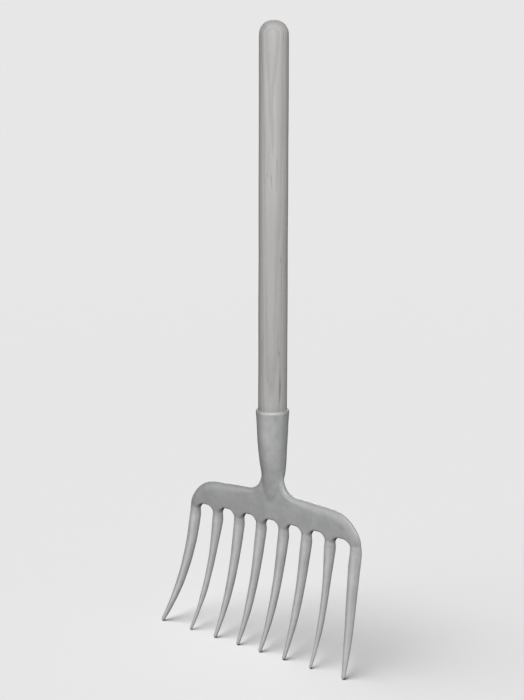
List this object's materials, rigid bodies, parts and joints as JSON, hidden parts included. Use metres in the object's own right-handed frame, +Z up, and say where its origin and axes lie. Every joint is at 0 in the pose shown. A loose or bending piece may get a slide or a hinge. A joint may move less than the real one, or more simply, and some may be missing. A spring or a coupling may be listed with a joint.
{
  "type": "hay fork",
  "caption": "Long-handled farm fork: straight round wooden handle in a tapered forged socket, flat crosshead and curved oval tines for lifting loose hay, straw or litter.",
  "frame": {"origin": "centre of the crosshead's flat rear face, on the fork's middle plane", "axes": "+Z up the handle, +X along the crosshead towards tine_8, +Y out of the rear face; the tines curve towards -Y"},
  "size_m": [0.33, 0.0797, 0.8713],
  "materials": {
    "handle_ash": "dry weathered silver-grey ash, hand-polished satin",
    "forged_head": "forged steel, dull grey satin with faint hammer marks",
    "drawn_tine": "drawn steel, dull grey satin, worn brighter towards the tip",
    "nail": "plain wire nail, dull grey"
  },
  "bodies": {
    "root": {"handle": "handle_ash", "socket_crosshead": "forged_head", "tine_1": "drawn_tine", "tine_2": "drawn_tine", "tine_3": "drawn_tine", "tine_4": "drawn_tine", "tine_5": "drawn_tine", "tine_6": "drawn_tine", "tine_7": "drawn_tine", "tine_8": "drawn_tine", "socket_nail": "nail"}
  },
  "joints": []
}
